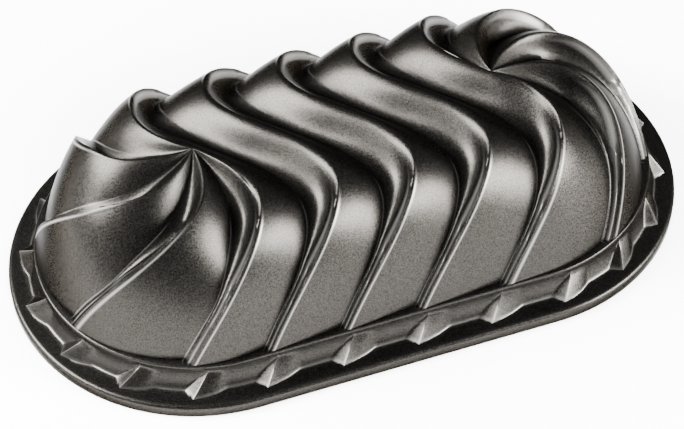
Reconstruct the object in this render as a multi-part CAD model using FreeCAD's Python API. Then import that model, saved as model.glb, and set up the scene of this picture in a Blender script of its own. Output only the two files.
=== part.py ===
import FreeCAD, Part
import math
import os
from FreeCAD import Vector

# Swirl loaf pan, standing on its rim with the open side down (mm).
# Origin: centre of the rim plane. +X along the pan, +Z up to the dome.

# Driving dimensions
LENGTH = 278.0          # overall, along X
WIDTH = 156.0           # overall, along Y
RIM_T = 5.4             # thickness of the rim flange
RIM_ROUND = 1.7         # rounding of its upper edge
WALL = 3.4              # casting wall
LEDGE_Z = 16.0          # shelf at the foot of the ribs
LEDGE_R = 66.5          # outer edge of that shelf, from the centre line
FLANGE_R = 69.6         # where the skirt meets the rim flange
MOUTH_R = 68.0          # half width of the opening
CREST_H = 65.3          # rib crests above the rim plane, on the centre line
FOOT_R = 65.9           # rib crests at their foot, from the centre line
RIBS_PER_SIDE = 4       # rib pitches along each straight side
RIBS_PER_END = 4        # rib pitches around each end
RIB_DEPTH_TOP = 8.8     # valley depth on the centre line
RIB_DEPTH_SIDE = 10.5   # deepest valley, at the shoulder
RIB_DEPTH_FOOT = 3.2    # valley depth at the shelf
TEETH = 24              # pointed facets around the skirt
TOOTH_R = 73.9          # point of a facet, from the centre line
TOOTH_LEAD = 4.0        # point of a facet ahead of its rib station
TOOTH_BACK = 3.9        # short side of a facet, along the skirt
TOOTH_TOP = 6.5         # top of a facet ahead of its point
TOOTH_RUN = 15.3        # long side of a facet, along the skirt
CREASE = 0.88           # depth share at the crease where a flute begins
SCOOP = 2.8             # how late a flute rises to its crest
COAT_GAP = 0.05         # clearance between casting and lining
COAT_T = 0.4            # stand-in thickness of the lining

R_END = WIDTH / 2
HALF = LENGTH / 2 - R_END            # half distance between the end centres
PITCH = 2 * HALF / RIBS_PER_SIDE
RIBS = 2 * (RIBS_PER_SIDE + RIBS_PER_END)
FOOT_LEAN = -22.2                    # crest foot, measured along the shelf
# (rib, extra shift at the foot, extra shift at the belly): the ends crowd some ribs
RIB_SHIFTS = [(0, 0.0, 1.5), (8, 0.0, 1.5), (4, 4.8, 4.8), (12, 4.8, 4.8), (5, 2.0, 7.0)]


def bezier(points, t):
    """Value of a Bezier curve given by plain numbers."""
    n = len(points) - 1
    return sum(math.comb(n, i) * (1 - t) ** (n - i) * t ** i * p for i, p in enumerate(points))


def smooth(t):
    t = min(1.0, max(0.0, t))
    return t * t * (3 - 2 * t)


def crest_profile(t):
    """Distance from the centre line and height of a crest, from top to foot."""
    rho = bezier([0, 25.7, 47, 57.7, FOOT_R], t)
    z = bezier([CREST_H, CREST_H, CREST_H + 3.2, CREST_H - 16, LEDGE_Z], t)
    return rho, z


def profile_normal(t):
    """Unit normal of the crest profile in the (distance, height) plane."""
    if t <= 0:
        return 0.0, 1.0
    step = 1e-3
    a = crest_profile(max(0.0, t - step))
    b = crest_profile(min(1.0, t + step))
    nr, nz = a[1] - b[1], b[0] - a[0]
    size = math.hypot(nr, nz)
    return nr / size, nz / size


def depth(u, t):
    """Valley depth below the crest profile at perimeter station u."""
    on_side = u % (RIBS / 2) < RIBS_PER_SIDE
    if on_side:
        upper = RIB_DEPTH_TOP + (RIB_DEPTH_SIDE - RIB_DEPTH_TOP) * smooth(t / 0.45)
    else:
        upper = RIB_DEPTH_SIDE * math.sin(math.pi / 2 * min(1.0, t / 0.45))
    return upper + (RIB_DEPTH_FOOT - RIB_DEPTH_SIDE) * smooth((t - 0.45) / 0.55)


def wave(u, t):
    """0 on a crest, 1 in a valley; even at the top, saw-like at the foot."""
    lean = smooth(t / 0.38)
    valley = 0.5 + 0.45 * smooth(t / 0.85) ** 2
    s = u - math.floor(u + 1e-9)
    if s < valley:
        x = s / valley
        even, saw = math.sin(math.pi * x / 2) ** 2, CREASE * (0.55 * x + 0.45 * x * x)
    else:
        x = (s - valley) / (1 - valley)
        run_on = 1.1 * CREASE * (1 - valley) / valley
        even, saw = math.cos(math.pi * x / 2) ** 2, CREASE + run_on * x - (CREASE + run_on) * x ** SCOOP
    return even + (saw - even) * lean


def swing(u, t):
    """Shift of a rib line along the perimeter: forward, then back at the foot."""
    lean, belly = FOOT_LEAN, 0.0
    for rib, at_foot, at_belly in RIB_SHIFTS:
        near = abs((u - rib + RIBS / 2) % RIBS - RIBS / 2)
        if near < 1:
            share = math.cos(math.pi / 2 * near) ** 2
            lean += at_foot * share
            belly += at_belly * share
    return bezier([0, 24.6, 22.1, -4.2 + belly, lean], t)


def on_stadium(u, rho, shift):
    """Point at distance rho from the centre segment, shift mm along from station u."""
    half_ribs = RIBS / 2
    turn = u // half_ribs
    v = u - turn * half_ribs
    arc = math.pi * rho
    if v <= RIBS_PER_SIDE:
        s = v * PITCH
    else:
        s = 2 * HALF + (v - RIBS_PER_SIDE) / RIBS_PER_END * arc
    s += shift
    lap = 2 * HALF + arc
    if lap > 0:
        turn += s // lap
        s -= (s // lap) * lap
    if s <= 2 * HALF:
        x, y = -HALF + s, -rho
    else:
        a = (s - 2 * HALF) / rho - math.pi / 2
        x, y = HALF + rho * math.cos(a), rho * math.sin(a)
    sign = 1 if turn % 2 == 0 else -1
    return sign * x, sign * y


def skin_point(u, t, inset):
    """Point of the ribbed dome, inset mm inside its outer skin."""
    rho, z = crest_profile(t)
    nr, nz = profile_normal(t)
    level = smooth((t - 0.8) / 0.2)
    cut = depth(u, t) * wave(u, t)
    rho -= cut * (nr + (1 - nr) * level) + inset * (nr + (1 - nr) * level)
    z -= cut * nz * (1 - level) + inset * (nz + (1 - nz) * level)
    shift = swing(u, t) + 0.35 * inset * smooth(t / 0.4)
    x, y = on_stadium(u, max(rho, 1e-9), shift if t > 0 else 0.0)
    return Vector(x, y, z)


def knots(count):
    """Clamped uniform cubic knots and their multiplicities for count poles."""
    values = [float(i) for i in range(count - 2)]
    return values, [4] + [1] * (count - 4) + [4]


def skin_patch(u0, u1, inset):
    """One quarter of the ribbed dome as a B-spline face."""
    per_rib = 10
    columns = int((u1 - u0) * per_rib) + 1
    rows = [0, 0.03, 0.08, 0.15, 0.23, 0.32, 0.41, 0.5, 0.59, 0.68, 0.77, 0.86, 0.94, 1]
    stations = [u0 + i / per_rib for i in range(columns)]
    poles = [[skin_point(u, t, inset) for t in rows] for u in stations]
    uk, um = knots(columns)
    vk, vm = knots(len(rows))
    surface = Part.BSplineSurface()
    surface.buildFromPolesMultsKnots(poles, um, vm, uk, vk, False, False, 3, 3)
    return surface.toShape()


def foot_edge(face, z):
    """The edge of a dome face that lies in the shelf plane."""
    level = [e for e in face.Edges if e.Length > 1 and abs(e.BoundBox.ZMax - z) < 1e-4]
    return [e for e in level if e.BoundBox.ZLength < 1e-4][0]


def ribbed_dome(inset):
    """Closed solid under the ribbed skin, carried 1 mm below the shelf."""
    quarter = RIBS / 4
    faces = [skin_patch(i * quarter, (i + 1) * quarter, inset) for i in range(4)]
    rim = Part.Wire(Part.__sortEdges__([foot_edge(f, LEDGE_Z - inset) for f in faces]))
    base = Part.Face(rim)
    shell = Part.Shell(faces + [base])
    shell.sewShape(1e-3)
    dome = Part.Solid(shell)
    if dome.Volume < 0:
        dome.reverse()
    return dome.fuse(base.extrude(Vector(0, 0, -1)))


def stadium(radius, z):
    """Outline at a distance from the centre segment, as a closed wire."""
    a, b = Vector(-HALF, -radius, z), Vector(HALF, -radius, z)
    c, d = Vector(HALF, radius, z), Vector(-HALF, radius, z)
    right = Part.Arc(b, Vector(HALF + radius, 0, z), c).toShape()
    left = Part.Arc(d, Vector(-HALF - radius, 0, z), a).toShape()
    return Part.Wire([Part.makeLine(a, b), right, Part.makeLine(c, d), left])


def tapered(radius0, z0, radius1, z1):
    return Part.makeLoft([stadium(radius0, z0), stadium(radius1, z1)], True, True)


def tooth_station(index):
    """Perimeter station of a facet: one per rib on the sides, closer at the ends."""
    side_teeth = RIBS_PER_SIDE
    half = TEETH // 2
    turn, i = divmod(index, half)
    if i <= side_teeth:
        u = float(i)
    else:
        u = side_teeth + (i - side_teeth) * RIBS_PER_END / (half - side_teeth)
    return turn * RIBS / 2 + u


def tooth(index):
    """Pointed facet on the skirt, steep on its clockwise face."""
    u = tooth_station(index)
    low, high = RIM_T - 1.0, LEDGE_Z - 1.5
    spots = [
        (TOOTH_R + 0.3, TOOTH_LEAD, low),
        (FLANGE_R - 1.0, TOOTH_LEAD - TOOTH_BACK, low),
        (FLANGE_R - 0.8, TOOTH_LEAD + TOOTH_RUN, low),
        (LEDGE_R - 0.3, TOOTH_LEAD + TOOTH_TOP, high),
    ]
    points = [Vector(*on_stadium(u, r, s), z) for r, s, z in spots]
    sides = [(0, 1, 2), (0, 1, 3), (1, 2, 3), (2, 0, 3)]
    faces = [Part.Face(Part.makePolygon([points[i] for i in (a, b, c, a)])) for a, b, c in sides]
    solid = Part.Solid(Part.Shell(faces))
    if solid.Volume < 0:
        solid.reverse()
    return solid


def cavity(inset):
    """Space inside the pan for a wall of the given thickness."""
    top = LEDGE_Z - inset
    skirt = tapered(MOUTH_R - inset + WALL + 0.4, -1.0, LEDGE_R - 0.7 * inset, top)
    return skirt.fuse(ribbed_dome(inset))


def cast_body():
    slab = Part.Face(stadium(R_END, 0)).extrude(Vector(0, 0, RIM_T))
    upper = [e for e in slab.Edges if e.BoundBox.ZMin > RIM_T - 0.01]
    rim = slab.makeFillet(RIM_ROUND, upper)
    skirt = tapered(FLANGE_R, RIM_T - 1.0, LEDGE_R, LEDGE_Z)
    teeth = [tooth(i) for i in range(TEETH)]
    outer = rim.fuse([skirt, ribbed_dome(0.0)] + teeth)
    return outer.cut(cavity(WALL))


def nonstick_lining():
    layer = cavity(WALL + COAT_GAP).cut(cavity(WALL + COAT_GAP + COAT_T))
    below = Part.makeBox(2 * LENGTH, 2 * WIDTH, 10, Vector(-LENGTH, -WIDTH, 1.0 - 10))
    return layer.cut(below)


def save(name, shape):
    """Write one closed solid as a STEP file."""
    solids = shape.Solids
    assert len(solids) == 1 and solids[0].isValid(), name
    solids[0].exportStep("parts/" + name + ".step")
    print(name, round(solids[0].Volume), solids[0].BoundBox)


os.makedirs("parts", exist_ok=True)
save("cast_body", cast_body())
save("nonstick_lining", nonstick_lining())
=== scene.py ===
import math

import bmesh
import bpy
from mathutils import Matrix, Vector


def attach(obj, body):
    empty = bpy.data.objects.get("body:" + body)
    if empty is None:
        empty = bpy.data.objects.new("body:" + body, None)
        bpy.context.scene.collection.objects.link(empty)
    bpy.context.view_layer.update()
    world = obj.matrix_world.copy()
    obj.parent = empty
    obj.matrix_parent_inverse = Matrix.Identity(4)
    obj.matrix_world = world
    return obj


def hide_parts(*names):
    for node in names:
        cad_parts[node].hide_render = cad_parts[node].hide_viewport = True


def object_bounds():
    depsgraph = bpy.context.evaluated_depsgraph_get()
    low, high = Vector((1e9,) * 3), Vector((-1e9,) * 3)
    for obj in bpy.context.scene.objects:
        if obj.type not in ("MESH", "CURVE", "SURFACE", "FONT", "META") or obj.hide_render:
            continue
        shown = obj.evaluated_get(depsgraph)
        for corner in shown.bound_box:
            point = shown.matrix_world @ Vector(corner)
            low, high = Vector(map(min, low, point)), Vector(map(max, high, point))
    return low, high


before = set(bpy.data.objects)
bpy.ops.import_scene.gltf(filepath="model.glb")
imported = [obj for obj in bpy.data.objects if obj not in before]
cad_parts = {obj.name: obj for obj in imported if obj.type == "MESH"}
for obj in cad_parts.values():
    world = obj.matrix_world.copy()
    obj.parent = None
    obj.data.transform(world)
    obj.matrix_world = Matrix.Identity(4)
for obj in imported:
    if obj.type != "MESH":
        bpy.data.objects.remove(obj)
cad_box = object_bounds()

# Swirl loaf pan, standing on its rim with the open side down.
# The frame is the solid's: origin at the centre of the rim plane, +X along the pan, +Z up.

# ---------------------------------------------------------------- dimensions, mm
MM = 0.001
SIZE = [hi - lo for lo, hi in zip(*[list(v) for v in cad_box])]
LENGTH, WIDTH = SIZE[0] / MM, SIZE[1] / MM
R_END = WIDTH / 2
HALF = LENGTH / 2 - R_END       # half distance between the end centres
RIBS_PER_SIDE = 4
RIBS_PER_END = 4
RIBS = 2 * (RIBS_PER_SIDE + RIBS_PER_END)
PITCH = 2 * HALF / RIBS_PER_SIDE
TEETH = 24              # pointed facets around the skirt
RIM_T = 5.4             # thickness of the rim flange
RIM_ROUND = 1.7         # rounding of its upper edge
WALL = 3.4              # casting wall
LEDGE_Z = 16.0          # shelf at the foot of the ribs
LEDGE_R = 66.5          # outer edge of that shelf, from the centre line
BAND_R = 69.4           # foot of the plain skirt, at the flange
MOUTH_R = 68.0          # half width of the opening
CREST_H = 65.3          # rib crests above the rim plane
CREST_W = 1.25          # half width of the flat band along a crest
FOOT_R = 65.9           # rib crests at their foot, from the centre line
DEPTH_TOP = 8.8         # valley depth on the centre line
DEPTH_SIDE = 10.5       # deepest valley, at the shoulder
DEPTH_FOOT = 3.2        # valley depth at the shelf
FOOT_LEAN = -22.2       # crest foot, measured along the shelf
# (rib, extra shift at the foot, extra shift at the belly): the ends crowd some ribs
RIB_SHIFTS = [(0, 0.0, 1.5), (8, 0.0, 1.5), (4, 4.8, 4.8), (12, 4.8, 4.8), (5, 2.0, 7.0)]
SCOOP = 2.8             # how late a flute rises to its crest
CREASE = 0.88           # depth share at the fine crease, where the flute begins
COAT_GAP = 0.05         # clearance between casting and lining
COAT_T = 0.4            # thickness of the lining
SHARP = 40              # edges turning by more than this many degrees stay sharp


# ---------------------------------------------------------------- form of the ribs
def bezier(points, t):
    """Value of a Bezier curve given by plain numbers."""
    n = len(points) - 1
    return sum(math.comb(n, i) * (1 - t) ** (n - i) * t ** i * p for i, p in enumerate(points))


def smooth(t):
    """Smooth step from 0 to 1."""
    t = min(1.0, max(0.0, t))
    return t * t * (3 - 2 * t)


def crest_profile(t):
    """Distance from the centre line and height of a crest, from top to foot."""
    rho = bezier([0, 25.7, 47, 57.7, FOOT_R], t)
    z = bezier([CREST_H, CREST_H, CREST_H + 3.2, CREST_H - 16, LEDGE_Z], t)
    return rho, z


def profile_normal(t):
    """Unit normal of the crest profile in the (distance, height) plane."""
    if t <= 0:
        return 0.0, 1.0
    a = crest_profile(max(0.0, t - 1e-3))
    b = crest_profile(min(1.0, t + 1e-3))
    nr, nz = a[1] - b[1], b[0] - a[0]
    size = math.hypot(nr, nz)
    return nr / size, nz / size


def depth(u, t):
    """Valley depth below the crest profile."""
    on_side = u % (RIBS / 2) < RIBS_PER_SIDE
    if on_side:
        upper = DEPTH_TOP + (DEPTH_SIDE - DEPTH_TOP) * smooth(t / 0.45)
    else:
        upper = DEPTH_SIDE * math.sin(math.pi / 2 * min(1.0, t / 0.45))
    return upper + (DEPTH_FOOT - DEPTH_SIDE) * smooth((t - 0.45) / 0.55)


def valley_phase(t):
    """Phase of the crease: halfway at the top, close before the next crest at the foot."""
    return 0.5 + 0.45 * smooth(t / 0.85) ** 2.0


def back_width(t):
    """Half width of the crest band on its flute side, mm."""
    return min(CREST_W, 0.4 * (1 - valley_phase(t)) * PITCH)


def raw_wave(s, t):
    """0 on a crest, 1 in a valley; even at the top, saw-like at the foot."""
    lean = smooth(t / 0.38)
    valley = valley_phase(t)
    share = smooth((t - 0.3) / 0.2) / PITCH
    s = s % 1.0
    s = 0.0 if s < CREST_W * share or 1 - s < back_width(t) * share else s
    if s < valley:
        x = s / valley
        even, saw = math.sin(math.pi * x / 2) ** 2, CREASE * (0.55 * x + 0.45 * x * x)
    else:
        x = (s - valley) / (1 - valley)
        run_on = 1.1 * CREASE * (1 - valley) / valley
        even, saw = math.cos(math.pi * x / 2) ** 2, CREASE + run_on * x - (CREASE + run_on) * x ** SCOOP
    return even + (saw - even) * lean


def wave(s, t):
    """The raw wave with its crest rounded over, by averaging a few near phases."""
    valley = valley_phase(t)
    near = min(s, 1 - s)
    soft = 2.4 - 1.85 * smooth((t - 0.25) / 0.25)
    width = (soft if near < 0.5 * (1 - valley) else 0.3) / PITCH
    width *= smooth(t / 0.2)
    taps = 7
    return sum(raw_wave(s + width * (2 * k / (taps - 1) - 1), t) for k in range(taps)) / taps


def swing(u, t):
    """Shift of a rib line along the perimeter: forward, then back at the foot."""
    lean, belly = FOOT_LEAN, 0.0
    for rib, at_foot, at_belly in RIB_SHIFTS:
        near = abs((u - rib + RIBS / 2) % RIBS - RIBS / 2)
        if near < 1:
            share = math.cos(math.pi / 2 * near) ** 2
            lean += at_foot * share
            belly += at_belly * share
    return bezier([0, 24.6, 22.1, -4.2 + belly, lean], t)


def on_stadium(u, rho, shift):
    """Point at distance rho from the centre segment, shift mm along from station u."""
    turn = u // (RIBS / 2)
    v = u - turn * RIBS / 2
    arc = math.pi * rho
    if v <= RIBS_PER_SIDE:
        s = v * PITCH
    else:
        s = 2 * HALF + (v - RIBS_PER_SIDE) / RIBS_PER_END * arc
    s += shift
    lap = 2 * HALF + arc
    turn += s // lap
    s -= (s // lap) * lap
    if s <= 2 * HALF:
        x, y = -HALF + s, -rho
    else:
        a = (s - 2 * HALF) / rho - math.pi / 2
        x, y = HALF + rho * math.cos(a), rho * math.sin(a)
    sign = 1 if turn % 2 == 0 else -1
    return sign * x, sign * y


def skin_point(u, s, t, inset):
    """Point of the ribbed dome at rib u, phase s, inset mm inside its outer skin."""
    rho, z = crest_profile(t)
    nr, nz = profile_normal(t)
    level = smooth((t - 0.8) / 0.2)
    cut = depth(u, t) * wave(s, t)
    rho -= (cut + inset) * (nr + (1 - nr) * level)
    z -= cut * nz * (1 - level) + inset * (nz + (1 - nz) * level)
    shift = swing(u + s, t) + 0.35 * inset * smooth(t / 0.4)
    x, y = on_stadium(u + s, max(rho, 1e-9), shift if t > 0 else 0.0)
    return x, y, z


def perimeter(x, y):
    """Place around the pan, 0 to 1, of a point in plan."""
    end = math.pi * LEDGE_R
    if abs(x) <= HALF:
        s = x + HALF if y < 0 else 2 * HALF + end + HALF - x
    elif x > 0:
        s = 2 * HALF + (math.atan2(y, x - HALF) + math.pi / 2) * LEDGE_R
    else:
        a = math.atan2(y, x + HALF) % (2 * math.pi)
        s = 4 * HALF + end + (a - math.pi / 2) * LEDGE_R
    return (s / (4 * HALF + 2 * end)) % 1.0


# ---------------------------------------------------------------- mesh helpers
class Builder:
    """Collects rings of vertices in mm and joins them into one closed mesh."""

    def __init__(self):
        self.bm = bmesh.new()
        # per-vertex amount of painted highlight: a lighter, less metallic colour along edges, standing in
        # for thin highlights
        self.painted_highlight = self.bm.verts.layers.float.new("painted_highlight")

    def ring(self, points, painted_highlight=None):
        """One closed ring of vertices, with the painted highlight amount of each."""
        verts = [self.bm.verts.new(Vector(p) * MM) for p in points]
        for v, amount in zip(verts, painted_highlight or []):
            v[self.painted_highlight] = amount
        return verts

    def join(self, a, b):
        """Faces between two rings of equal count."""
        for i in range(len(a)):
            j = (i + 1) % len(a)
            self.bm.faces.new((a[i], a[j], b[j], b[i]))

    def ordered(self, ring):
        """A ring turned to begin at the start of the perimeter, with each vertex's place."""
        places = [perimeter(v.co.x / MM, v.co.y / MM) for v in ring]
        first = places.index(min(places))
        return ring[first:] + ring[:first], places[first:] + places[:first]

    def bridge(self, a, b):
        """Faces between two closed rings with different counts, a above or inside b."""
        la, pa = self.ordered(a)
        lb, pb = self.ordered(b)
        pa.append(1.0 + pa[0])
        pb.append(1.0 + pb[0])
        i = j = 0
        while i < len(la) or j < len(lb):
            step_a = j >= len(lb) or (i < len(la) and pa[i + 1] <= pb[j + 1])
            va, vb = la[i % len(la)], lb[j % len(lb)]
            if step_a:
                self.bm.faces.new((va, la[(i + 1) % len(la)], vb))
                i += 1
            else:
                self.bm.faces.new((va, lb[(j + 1) % len(lb)], vb))
                j += 1

    def finish(self, name, material):
        """The finished object, its seams welded and its normals outward."""
        bmesh.ops.remove_doubles(self.bm, verts=self.bm.verts, dist=2e-7)
        bmesh.ops.recalc_face_normals(self.bm, faces=self.bm.faces)
        mesh = bpy.data.meshes.new(name)
        self.bm.to_mesh(mesh)
        self.bm.free()
        mesh.shade_smooth()
        mesh.set_sharp_from_angle(angle=math.radians(SHARP))
        obj = bpy.data.objects.new(name, mesh)
        bpy.context.scene.collection.objects.link(obj)
        mesh.materials.append(material)
        return obj


def eased(count):
    """Fractions 0 to 1, closer together at both ends."""
    return [0.5 * (x + smooth(x)) for x in (i / count for i in range(count + 1))]


def edge_painted_highlight(s, t):
    """Painted highlight lines on the coating: strong on the edges of a crest band, weaker on the crease."""
    from_crest = (s if s < 0.5 else s - 1) * PITCH
    ahead = max(0.0, 1 - abs(from_crest - CREST_W) / 0.6)
    back = back_width(t)
    behind = 0.7 * max(0.0, 1 - abs(from_crest + back) / (0.36 * back))
    from_crease = (s - valley_phase(t)) * PITCH
    reach = 0.35 if from_crease < 0 else 0.28 * back
    crease = 0.5 * max(0.0, 1 - abs(from_crease) / reach)
    return max(ahead, behind) * smooth((t - 0.33) / 0.25) + crease * smooth((t - 0.3) / 0.15)


def dome_rings(builder, inset, half_steps, rows):
    """Rings of the ribbed skin from the centre line to the foot."""
    rings = []
    for t in eased(rows):
        valley = valley_phase(t)
        fine = [k * CREST_W / PITCH for k in (0, 0.4, 0.7, 0.85, 1, 1.15, 1.35, 1.6, 2.0)]
        inner = [fine[-1] + (valley - fine[-1]) * f for f in eased(half_steps)[1:-1]]
        flute = 1 - valley
        step = 0.03 * flute
        phases = fine + inner + [valley - 0.35 / PITCH, valley, valley + step]
        back = [f * back_width(t) / CREST_W for f in fine[1:]]
        span = flute - step - back[-1]
        phases += [valley + step + span * f for f in eased(half_steps // 2)[1:-1]]
        phases += [1 - f for f in reversed(back)]
        # even spacing on the centre line, so that the two sides meet point to point
        count, own = len(phases), smooth(t / 0.15)
        phases = [i / count + (p - i / count) * own for i, p in enumerate(phases)]
        points = [skin_point(u, s, t, inset) for u in range(RIBS) for s in phases]
        # every vertex carries the painted highlight amount for its phase
        rings.append(builder.ring(points, [edge_painted_highlight(s, t) for s in phases] * RIBS))
    for a, b in zip(rings, rings[1:]):
        builder.join(a, b)
    return rings[-1]


# ---------------------------------------------------------------- skirt and facets
APEX_V = 0.2            # height share of a facet's top, from the shelf edge down
NOTCH, APEX, TAIL = -3.9, 6.5, 15.3     # along the skirt from the facet's point
RIDGE = 0.5             # width of the rounding beside a facet's top
GROOVE_COLUMNS = 6
POINT_R = 73.9          # a facet's point, from the centre line
SKIRT_R = 70.0          # radius at which lengths along the skirt are measured
LEAD = 4.0              # a facet's point, ahead of its rib station


def tooth_columns():
    """Stations along one facet at the flange: (top, bottom, kind)."""
    cols = []
    for i in range(GROOVE_COLUMNS):
        f = i / GROOVE_COLUMNS
        cols.append((APEX - RIDGE + RIDGE * f, NOTCH * (1 - f), "groove"))
    for x in (0.0, 0.5, 3, 6, 9, 12, 14, TAIL):
        cols.append((APEX + x * (TAIL - APEX) / TAIL, x, "facet"))
    next_top, next_foot = PITCH + APEX - RIDGE, PITCH + NOTCH
    for f in (0.2, 0.45, 0.7, 0.9):
        cols.append((TAIL + (next_top - TAIL) * f, TAIL + (next_foot - TAIL) * f, "band"))
    return cols


def band_radius(v):
    """Radius of the plain skirt at height share v."""
    return LEDGE_R + (BAND_R - LEDGE_R) * v ** 2.2


def tooth_radius(x, kind, v):
    """Radius of the skirt at height share v for a column with flange station x."""
    base = band_radius(v)
    if kind == "band" or v <= APEX_V:
        return base
    w = (v - APEX_V) / (1 - APEX_V)
    top = band_radius(APEX_V)
    if kind == "facet":
        foot = POINT_R + (SKIRT_R - POINT_R) * x / TAIL
        flat = top + (foot - top) * w
        return flat + (base - flat) * smooth((x - 10) / (TAIL - 10))
    f = 1 - x / NOTCH
    return base + (top + (POINT_R - top) * w - base) * f ** 1.3


def skirt_station(index):
    """Perimeter station of a facet: one per rib on the sides, closer at the ends."""
    half = TEETH // 2
    turn, i = divmod(index, half)
    if i <= RIBS_PER_SIDE:
        u = float(i)
    else:
        u = RIBS_PER_SIDE + (i - RIBS_PER_SIDE) * RIBS_PER_END / (half - RIBS_PER_SIDE)
    return turn * RIBS / 2 + u


def skirt_point(index, x, radius, z):
    """Point on the skirt, x mm along it from the point of facet number index."""
    u = skirt_station(index)
    end_pitch = math.pi * SKIRT_R / (TEETH // 2 - RIBS_PER_SIDE)
    on_end = index % (TEETH // 2) >= RIBS_PER_SIDE
    scale = (end_pitch if on_end else PITCH) / PITCH
    px, py = on_stadium(u, SKIRT_R, LEAD + x * scale)
    if abs(px) > HALF:
        cx = math.copysign(HALF, px)
        a = math.atan2(py, px - cx)
        return cx + radius * math.cos(a), radius * math.sin(a), z
    return px, math.copysign(radius, py), z


def ridge_painted_highlight(x):
    """Painted highlight on the ridge of a facet, x mm from its point."""
    return 0.5 * max(0.0, 1 - abs(x) / 0.6)


def skirt_rings(builder, rows):
    """Rings of the skirt from the shelf edge down to the flange."""
    cols = tooth_columns()
    rings = []
    for v in rows:
        z = LEDGE_Z - 1.4 + (RIM_T + 0.3 - LEDGE_Z + 1.4) * v
        pts = []
        w = max(0.0, (v - APEX_V) / (1 - APEX_V))
        for k in range(TEETH):
            for top, bottom, kind in cols:
                x = top + (bottom - top) * w
                pts.append(skirt_point(k, x, tooth_radius(bottom, kind, v) + 0.15, z))
        # painted highlight along the skirt's bottom ring and on the facet ridges
        foot = 0.3 * smooth((v - 0.9) / 0.1)
        painted_highlight = [max(foot, ridge_painted_highlight(bottom) * (0 < v < 1)) for _, bottom, _ in cols]
        rings.append(builder.ring(pts, painted_highlight * TEETH))
    for a, b in zip(rings, rings[1:]):
        builder.join(a, b)
    return rings


def scaled_ring(builder, radius, z, blend=0.0):
    """Ring with the skirt's columns at one radius, or part of the way to the facets."""
    pts = []
    for k in range(TEETH):
        for _, bottom, kind in tooth_columns():
            r = radius + (tooth_radius(bottom, kind, 1.0) - radius) * blend
            pts.append(skirt_point(k, bottom, r, z))
    return builder.ring(pts)


def build_casting(material):
    """The whole casting as one closed mesh, from the crests round to the inside."""
    b = Builder()
    foot = dome_rings(b, 0.0, 12, 64)
    ledge = scaled_ring(b, LEDGE_R - 0.55, LEDGE_Z)
    b.bridge(foot, ledge)
    for radius, drop in ((LEDGE_R - 0.2, 0.12), (LEDGE_R + 0.05, 0.4), (LEDGE_R + 0.15, 0.85)):
        ring = scaled_ring(b, radius, LEDGE_Z - drop)
        b.join(ledge, ring)
        ledge = ring
    rows = [0.0, 0.1, APEX_V, 0.3, 0.45, 0.6, 0.75, 0.88, 0.96, 1.0]
    skirt = skirt_rings(b, rows)
    b.join(ledge, skirt[0])
    steps = [
        (75.0, RIM_T + 0.05, 0.85), (75.0, RIM_T, 0.6), (75.2, RIM_T, 0.0), (R_END - RIM_ROUND, RIM_T, 0.0),
    ]
    for k in range(1, 7):
        a = math.pi / 2 * k / 6
        steps.append((R_END + RIM_ROUND * (math.sin(a) - 1), RIM_T + RIM_ROUND * (math.cos(a) - 1), 0.0))
    steps += [
        (R_END, 0.3, 0.0), (R_END - 0.1, 0.08, 0.0), (R_END - 0.3, 0.0, 0.0),
        (MOUTH_R + 1.4, 0.0, 0.0), (MOUTH_R + 0.5, 0.3, 0.0),
        (MOUTH_R - 0.1, 1.2, 0.0), (LEDGE_R - 0.7 * WALL + 0.3, LEDGE_Z - WALL - 1.0, 0.0),
        (LEDGE_R - 0.7 * WALL - 0.3, LEDGE_Z - WALL, 0.0),
    ]
    last = skirt[-1]
    for radius, z, blend in steps:
        ring = scaled_ring(b, radius, z, blend=blend)
        b.join(last, ring)
        last = ring
    inner = dome_rings(b, WALL, 8, 40)
    b.bridge(inner, last)
    return b.finish("cast_body_skin", material)


def lining_wall(inset):
    """(radius, height) of the lining from under the shelf down to the mouth."""
    return [
        (LEDGE_R - 0.7 * inset - 0.3, LEDGE_Z - inset),
        (LEDGE_R - 0.7 * inset + 0.3, LEDGE_Z - inset - 1.0),
        (MOUTH_R - 0.1 - (inset - WALL), 1.2),
    ]


def build_lining(material):
    """The coating inside the pan as one closed mesh."""
    b = Builder()
    outer_in = WALL + COAT_GAP
    inner_in = outer_in + COAT_T
    outer = dome_rings(b, outer_in, 8, 40)
    inner = dome_rings(b, inner_in, 8, 40)
    a = [scaled_ring(b, r, z) for r, z in lining_wall(outer_in)]
    c = [scaled_ring(b, r, z) for r, z in lining_wall(inner_in)]
    b.bridge(outer, a[0])
    b.bridge(inner, c[0])
    for ring in (a, c):
        for p, q in zip(ring, ring[1:]):
            b.join(p, q)
    b.join(a[-1], c[-1])
    return b.finish("lining_skin", material)


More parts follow.
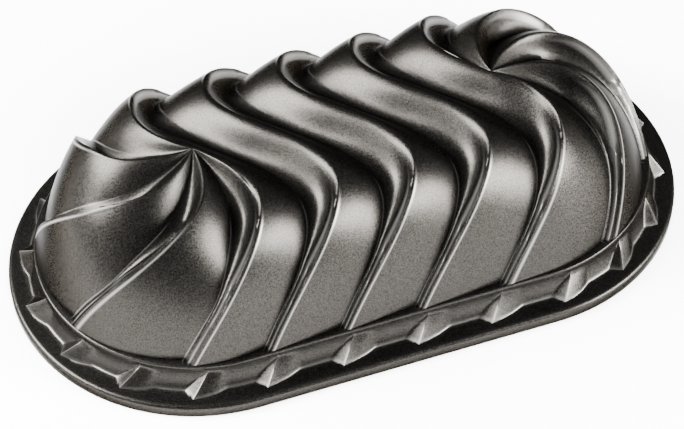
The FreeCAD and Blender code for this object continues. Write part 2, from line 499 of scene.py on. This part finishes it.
# ---------------------------------------------------------------- materials
def coating(name, base, rough):
    """Dark release coating with a fine sparkle, with painted highlight lines: lighter and less metallic
    along the marked edges.
    """
    mat = bpy.data.materials.new(name)
    mat.use_nodes = True
    nodes, links = mat.node_tree.nodes, mat.node_tree.links
    bsdf = nodes["Principled BSDF"]
    coord = nodes.new("ShaderNodeTexCoord")

    def noise_node(scale, detail):
        n = nodes.new("ShaderNodeTexNoise")
        n.inputs["Scale"].default_value = scale
        n.inputs["Detail"].default_value = detail
        links.new(coord.outputs["Object"], n.inputs["Vector"])
        return n

    grain = noise_node(1900.0, 2.0)
    cloud = noise_node(35.0, 3.0)
    ramp = nodes.new("ShaderNodeMapRange")
    ramp.inputs["From Min"].default_value = 0.3
    ramp.inputs["From Max"].default_value = 0.7
    ramp.inputs["To Min"].default_value = rough - 0.05
    ramp.inputs["To Max"].default_value = rough + 0.07
    links.new(grain.outputs["Fac"], ramp.inputs["Value"])
    links.new(ramp.outputs["Result"], bsdf.inputs["Roughness"])
    mix = nodes.new("ShaderNodeMix")
    mix.data_type = "RGBA"
    mix.inputs["A"].default_value = (*[0.86 * c for c in base], 1)
    mix.inputs["B"].default_value = (*[1.14 * c for c in base], 1)
    links.new(cloud.outputs["Fac"], mix.inputs["Factor"])
    # painted highlight: a lighter colour where the vertex attribute is set, along crest, crease and facet
    # edges
    highlight_attribute = nodes.new("ShaderNodeAttribute")
    highlight_attribute.attribute_name = "painted_highlight"
    painted_highlight_mix = nodes.new("ShaderNodeMix")
    painted_highlight_mix.data_type = "RGBA"
    painted_highlight_mix.inputs["B"].default_value = (0.11, 0.107, 0.10, 1)
    links.new(highlight_attribute.outputs["Fac"], painted_highlight_mix.inputs["Factor"])
    speckle = nodes.new("ShaderNodeMapRange")
    speckle.inputs["From Min"].default_value = 0.3
    speckle.inputs["From Max"].default_value = 0.7
    speckle.inputs["To Min"].default_value = 0.45
    speckle.inputs["To Max"].default_value = 1.55
    links.new(grain.outputs["Fac"], speckle.inputs["Value"])
    fleck = nodes.new("ShaderNodeMix")
    fleck.data_type = "RGBA"
    fleck.blend_type = "MULTIPLY"
    fleck.inputs["Factor"].default_value = 1.0
    links.new(mix.outputs["Result"], fleck.inputs["A"])
    links.new(speckle.outputs["Result"], fleck.inputs["B"])
    links.new(fleck.outputs["Result"], painted_highlight_mix.inputs["A"])
    links.new(painted_highlight_mix.outputs["Result"], bsdf.inputs["Base Color"])
    bump = nodes.new("ShaderNodeBump")
    bump.inputs["Strength"].default_value = 0.22
    bump.inputs["Distance"].default_value = 0.00006
    links.new(grain.outputs["Fac"], bump.inputs["Height"])
    links.new(bump.outputs["Normal"], bsdf.inputs["Normal"])
    # the painted highlight lines are also made less metallic
    highlight_metallic = nodes.new("ShaderNodeMapRange")
    highlight_metallic.inputs["To Min"].default_value = 1.0
    highlight_metallic.inputs["To Max"].default_value = 0.65
    links.new(highlight_attribute.outputs["Fac"], highlight_metallic.inputs["Value"])
    links.new(highlight_metallic.outputs["Result"], bsdf.inputs["Metallic"])
    bsdf.inputs["Specular Tint"].default_value = (0.4, 0.4, 0.4, 1)
    return mat


def paper(name):
    """Plain white floor, very slightly clouded."""
    mat = bpy.data.materials.new(name)
    mat.use_nodes = True
    nodes, links = mat.node_tree.nodes, mat.node_tree.links
    bsdf = nodes["Principled BSDF"]
    noise = nodes.new("ShaderNodeTexNoise")
    noise.inputs["Scale"].default_value = 30.0
    mix = nodes.new("ShaderNodeMix")
    mix.data_type = "RGBA"
    mix.inputs["A"].default_value = (0.90, 0.90, 0.90, 1)
    mix.inputs["B"].default_value = (0.92, 0.92, 0.92, 1)
    links.new(noise.outputs["Fac"], mix.inputs["Factor"])
    links.new(mix.outputs["Result"], bsdf.inputs["Base Color"])
    bsdf.inputs["Roughness"].default_value = 0.9
    bsdf.inputs["Specular IOR Level"].default_value = 0.1
    return mat


# ---------------------------------------------------------------- pieces
graphite = coating("graphite_coating", (0.0174, 0.0163, 0.0148), 0.34)
lining_paint = coating("lining_coating", (0.020, 0.019, 0.017), 0.38)

casting = build_casting(graphite)
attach(casting, "root")
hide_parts("cast_body")

lining = build_lining(lining_paint)
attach(lining, "root")
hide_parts("nonstick_lining")

# ---------------------------------------------------------------- floor
half_floor = 4.0
floor_mesh = bpy.data.meshes.new("floor")
corners = [(half_floor * i, half_floor * j) for i, j in ((-1, -1), (1, -1), (1, 1), (-1, 1))]
floor_mesh.from_pydata([(x, y, -0.0002) for x, y in corners], [], [(0, 1, 2, 3)])
floor_mesh.materials.append(paper("floor_paper"))
floor = bpy.data.objects.new("floor", floor_mesh)
bpy.context.scene.collection.objects.link(floor)


# ---------------------------------------------------------------- light
def softbox(name, place, target, size_x, size_y, power):
    """Rectangular area light aimed at a point."""
    data = bpy.data.lights.new(name, "AREA")
    data.shape = "RECTANGLE"
    data.size, data.size_y, data.energy = size_x, size_y, power
    lamp = bpy.data.objects.new(name, data)
    lamp.location = place
    lamp.rotation_euler = (Vector(target) - Vector(place)).to_track_quat("-Z", "Y").to_euler()
    bpy.context.scene.collection.objects.link(lamp)
    return lamp


def toward(azimuth, elevation, distance):
    """Place seen from the object at an azimuth (from +Y, clockwise) and elevation."""
    a, e = math.radians(azimuth), math.radians(elevation)
    level = distance * math.cos(e)
    return level * math.sin(a), level * math.cos(a), distance * math.sin(e)


softbox("key_left", toward(-75, 38, 1.0), (0, 0, 0.03), 0.65, 0.48, 112)
softbox("fill_front_right", toward(127, 23, 1.1), (0, 0, 0.03), 0.60, 0.40, 108)
top = softbox("top", (0.0, 0.0, 2.2), (0, 0, 0), 1.6, 1.6, 120)
top.visible_glossy = False
wash = softbox("front_wash", (0.0, -1.9, 1.5), (0, 0, 0), 1.4, 1.0, 240)
wash.visible_glossy = False

world = bpy.data.worlds.new("studio")
bpy.context.scene.world = world
world.use_nodes = True
world.node_tree.nodes["Background"].inputs["Color"].default_value = (1, 1, 1, 1)
world.node_tree.nodes["Background"].inputs["Strength"].default_value = 0.6

# ---------------------------------------------------------------- camera
AZIMUTH, ELEVATION, ROLL = math.radians(-18.107), math.radians(48.776), math.radians(-1.239)
DISTANCE = 0.8203               # from the origin
SIDESTEP, RISE = -0.0018, 0.00239   # how far the camera stands off the line to the origin
LENS, SENSOR = 105.263, 36.0    # mm

back = Vector((
    math.sin(AZIMUTH) * math.cos(ELEVATION),
    -math.cos(AZIMUTH) * math.cos(ELEVATION),
    math.sin(ELEVATION),
))
level_right = (-back).cross(Vector((0, 0, 1))).normalized()
level_up = level_right.cross(-back)
right = math.cos(ROLL) * level_right + math.sin(ROLL) * level_up
up = -math.sin(ROLL) * level_right + math.cos(ROLL) * level_up
place = back * DISTANCE + right * SIDESTEP + up * RISE

cam_data = bpy.data.cameras.new("camera")
cam_data.sensor_width, cam_data.lens = SENSOR, LENS
cam_data.clip_start, cam_data.clip_end = 0.05, 30
camera = bpy.data.objects.new("camera", cam_data)
turn = Matrix((right, up, back)).transposed().to_4x4()
camera.matrix_world = Matrix.Translation(place) @ turn
bpy.context.scene.collection.objects.link(camera)
bpy.context.scene.camera = camera
